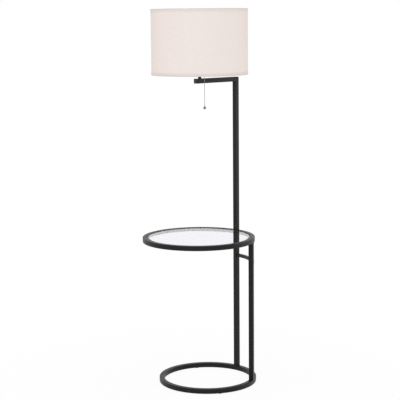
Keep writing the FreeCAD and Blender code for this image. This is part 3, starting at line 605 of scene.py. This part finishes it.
# Bulb: a round globe of thin glass, frosted inside, whose neck is cemented into a cap.
# The cap is pressed from plated steel, with a rolled thread and a contact at its foot.
frost = Finish("frosted_bulb")
frost_body = frost.principled(
    Base_Color=frost.blend(frost.noise(80.0), (0.90, 0.89, 0.86), (0.95, 0.94, 0.92)),
    Roughness=0.25,
    Subsurface_Weight=0.3,
    Coat_Weight=0.4,
)
frosted_glass = frost.output(frost_body)
cap_low = 1311.9
cap_high = 1338.9
cap_radius = 13.0
globe_radius = 30.0
globe_middle = 1389.9
globe_neck = 14.0
neck_tall = globe_middle - cap_high
globe_lean = math.asin(globe_radius / math.hypot(globe_neck, neck_tall)) - math.atan2(globe_neck, neck_tall)
globe_line = [(0, cap_high), (globe_neck, cap_high)]
globe_line += arc_line(globe_radius, globe_middle, -globe_lean, quarter_turn, 24)[:-1]
globe_line.append((0, globe_middle + globe_radius))
globe_form = spun(globe_line, 64, shade_axis)
put_together("bulb_globe", globe_form, frosted_glass, "bulb", "bulb_glass", "bulb_glass")

thread_low = 1318.0
thread_pitch = 3.63
thread_root = 12.2
thread_crest = 12.95
thread_line = [(0, cap_low), (2.5, cap_low), (5.0, cap_low + 1.5), (10.0, cap_low + 3.0), (thread_root, 1317.0)]
for n in range(5):
    low = thread_low + thread_pitch * n
    thread_line += [(thread_root, low), (thread_crest, low + 1.0)]
    thread_line += [(thread_crest, low + 1.8), (thread_root, low + 2.8)]
thread_line += [(cap_radius, cap_high - 0.9), (cap_radius, cap_high), (0, cap_high)]
cap_form = spun(thread_line, 48, shade_axis)
put_together("bulb_screw_cap", cap_form, zinc_plate, "bulb", "zinc_steel", "bulb_base", crease=50.0)

# Drum shade's inside: white styrene sheet rolled into a drum with a glued lap, two wire
# rings, and a spider of three cranked wires brazed to the top ring and to a washer.
styrene = Finish("white_styrene")
styrene_body = styrene.principled(
    Base_Color=styrene.blend(styrene.noise(20.0), (0.86, 0.84, 0.80), (0.90, 0.88, 0.85)),
    Roughness=0.45,
    Normal=styrene.bump(styrene.noise(40.0), 0.0002),
)
white_styrene = styrene.output(styrene_body)
drum_low = 1263.0
drum_high = 1524.0
drum_steps = 192
sheet_low = drum_low + 0.8
sheet_high = drum_high - 0.8
liner_inner = 191.8
liner_outer = 192.6
seam_at = math.radians(104)


def ring_of(inner, outer, low, high):
    """A closed outline of a plain ring, ready to spin."""
    return [(inner, low), (outer, low), (outer, high), (inner, high), (inner, low)]


liner_line = ring_of(liner_inner, liner_outer - 0.05, sheet_low, sheet_high)
liner_form = spun(liner_line, drum_steps, shade_axis)
put_together("shade_backing_drum", liner_form, white_styrene, "shade", "shade_backing", "shade_liner")
backing_lap = 15
backing_clear = 4.6
backing_lap_line = ring_of(liner_inner - 0.5, liner_inner + 0.1, drum_low + backing_clear, drum_high - backing_clear)
backing_lap_form = spun(backing_lap_line, 6, shade_axis, arc=backing_lap / liner_inner, start=seam_at)
put_together("shade_backing_lap", backing_lap_form, white_styrene, "shade", "shade_backing")

wire_round = 1.8
wire_line = 189.9
for place, middle in (("top", 1521.6), ("bottom", 1265.4)):
    section = arc_line(wire_round, middle, 0, full_turn, 12, out=wire_line)[:-1]
    wire_form = spun(section + section[:1], 160, shade_axis)
    put_together(place + "_wire_ring", wire_form, satin_nickel, "shade", "nickel", f"shade_{place}_ring",
                 crease=60.0)
eased(satin_nickel, "spider_arms", "spider_washer")

# Drum shade's outside: cream linen stretched over the backing and lapped at the back, and a
# band of the same linen folded over each edge and its wire, with its raw edges turned under.
yarn_pitch = 0.0006
slub_long = 45.0
slub_thin = 900.0
drum_middle = (drum_low + drum_high) / 2000
drum_half = (drum_high - drum_low) / 2000
edge_shade_from = 0.0042
edge_shade_to = 0.0012


def linen_cloth(name, dark, pale, thread, edge):
    """Plain-woven linen: fine threads both ways, the drawn-out slubs of its yarn, and painted shade darkening it
    near its top and bottom edges.
    """
    linen = Finish(name)
    place = linen.node("ShaderNodeTexCoord", output="UV")
    across, upward = linen.first_two(place)
    warp = (across * (full_turn / yarn_pitch)).maths("SINE")
    weft = (upward * (full_turn / yarn_pitch)).maths("SINE")
    weave = warp * weft * 0.5 + 0.5
    slubs = 0.0
    for scale in ((slub_thin, slub_long, 1.0), (slub_long, slub_thin, 1.0)):
        drawn = linen.node("ShaderNodeMapping", inputs={"Vector": place, "Scale": scale})
        slubs = linen.noise(1.0, 3.0, drawn) * 0.5 + slubs
    ground = linen.blend(weave * 0.35, linen.blend(linen.step(slubs, 0.33, 0.67), dark, pale), thread)
    # Painted shade: the colour darkens towards the drum's top and bottom edges, standing in for the shade where the
    # cloth rolls over the edge.
    painted_edge_shade = linen.step(abs(upward - drum_middle), drum_half - edge_shade_from, drum_half - edge_shade_to)
    body = linen.principled(
        Base_Color=linen.blend(painted_edge_shade, ground, edge),
        Roughness=0.9,
        Normal=linen.bump(weave * 0.6 + slubs * 1.6, 0.0002),
    )
    return linen.output(body)


# Each cloth's edge colour is the painted shade laid near the drum's top and bottom edges.
cream_linen = linen_cloth(
    "cream_linen",
    dark=(0.825, 0.757, 0.725),
    pale=(0.893, 0.838, 0.812),
    thread=(0.883, 0.828, 0.807),
    edge=(0.80, 0.75, 0.73),
)
# Painted shade: the hem's band is the same linen, coloured darker and greyer where it is doubled, standing in for
# the light that a single layer lets through and two layers hold back.
doubled_linen_painted_shade = linen_cloth(
    "doubled_linen_painted_shade",
    dark=(0.755, 0.698, 0.664),
    pale=(0.825, 0.778, 0.750),
    thread=(0.812, 0.768, 0.744),
    edge=(0.68, 0.64, 0.625),
)
cloth_outer = 193.4


def lay_threads(form):
    """Gives a round form the cloth's own flat measure: metres round it, and metres of height."""
    cloth_layer = form.loops.layers.uv.new("cloth")
    for face in form.faces:
        middle = face.calc_center_median() - shade_axis
        facing = math.atan2(middle.y, middle.x)
        for corner in face.loops:
            place = corner.vert.co - shade_axis
            turn = math.atan2(place.y, place.x) - facing
            turn = (turn + math.pi) % full_turn - math.pi
            corner[cloth_layer].uv = ((facing + turn) * cloth_outer / 1000, place.z)
    return form


cloth_line = ring_of(liner_outer, cloth_outer, sheet_low, sheet_high)
cloth_form = lay_threads(spun(cloth_line, drum_steps, shade_axis))
cloth = put_together("shade_cloth", cloth_form, cream_linen, "shade", "shade_cloth", "shade_fabric")
cloth_lap = 11
cloth_clear = 12.5
cloth_lap_line = ring_of(cloth_outer - 0.1, cloth_outer + 0.45, drum_low + cloth_clear, drum_high - cloth_clear)
cloth_lap_form = spun(cloth_lap_line, 5, shade_axis, ease=0.15, arc=cloth_lap / cloth_outer, start=seam_at)
put_together("shade_cloth_lap", lay_threads(cloth_lap_form), cream_linen, "shade", "shade_cloth")

hem_width = 12.0
hem_skin = 0.8
hem_wall = 0.5
fold = 0.9


def hem(name, edge, way, node):
    """A folded band: down the outside, over the edge and its wire, and a little way up the inside."""
    outer = cloth_outer + hem_skin
    under = cloth_outer + 0.05
    inner = wire_line - wire_round - 0.3
    outside = [(under, hem_width - 0.5), (outer - 0.1, hem_width), (outer, hem_width - 0.8)]
    groove = [(outer, 4.0), (outer - hem_wall, 3.6), (outer - hem_wall, 2.8), (outer, 2.4)]
    over = [(outer, fold), (outer - fold * 0.3, fold * 0.3), (outer - fold, 0)]
    over += [(inner + fold, 0), (inner + fold * 0.3, fold * 0.3), (inner, fold)]
    inside = [(inner, 5.4), (inner + 0.3, 5.6), (inner + hem_wall, 5.2)]
    back = [(inner + hem_wall, fold + 0.3), (inner + fold + 0.3, hem_wall), (outer - fold - 0.2, hem_wall)]
    back += [(under, fold + 0.3), (under, hem_width - 0.5)]
    outline = [(radius, edge - way * depth) for radius, depth in outside + groove + over + inside + back]
    form = lay_threads(spun(outline, 256, shade_axis))
    return put_together(name, form, doubled_linen_painted_shade, "shade", "shade_cloth", node, crease=80.0)


top_hem = hem("top_hem", drum_high, 1, "shade_top_trim")
bottom_hem = hem("bottom_hem", drum_low, -1, "shade_bottom_trim")
